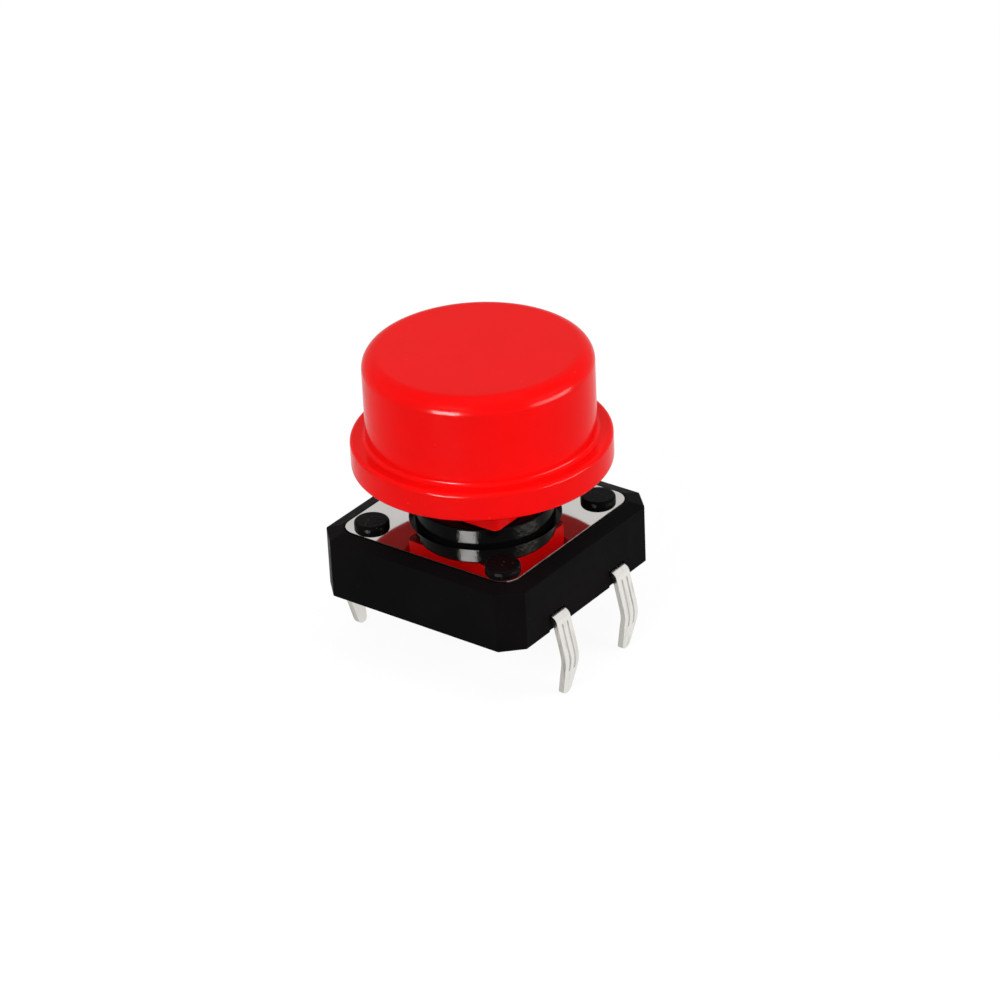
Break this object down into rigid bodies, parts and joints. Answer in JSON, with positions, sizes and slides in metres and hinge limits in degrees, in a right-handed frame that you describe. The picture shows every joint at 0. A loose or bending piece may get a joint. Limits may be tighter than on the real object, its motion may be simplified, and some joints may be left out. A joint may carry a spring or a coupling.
{
  "type": "tactile push button switch",
  "caption": "Through-hole tactile push switch: square black housing, bright steel cover plate, round red push-on cap on a sprung plunger, and kinked tinned legs.",
  "frame": {"origin": "centre of the housing's underside, where the switch sits on its board", "axes": "+Z along the button's axis, away from the board; the rows of legs stand along +X and -X"},
  "size_m": [0.0136, 0.0128, 0.016],
  "materials": {
    "housing_plastic": "satin black moulding",
    "cover_steel": "polished",
    "plunger_plastic": "gloss black moulding",
    "cap_plastic": "gloss red moulding",
    "dome_metal": "silver-plated spring strip",
    "tinned_strip": "bright tin plating"
  },
  "bodies": {
    "housing": {"base": "housing_plastic", "cover_plate": "cover_steel", "contact_dome": "dome_metal", "common_strip": "tinned_strip", "switched_strip": "tinned_strip"},
    "button": {"plunger": "plunger_plastic", "key_cap": "cap_plastic"}
  },
  "joints": [
    {"name": "button_press", "type": "slide", "parent": "housing", "child": "button", "axis": [0, 0, -1], "range_m": [0, 0.0003], "stiffness_N_per_m": 8500, "deforming": ["contact_dome"]}
  ]
}
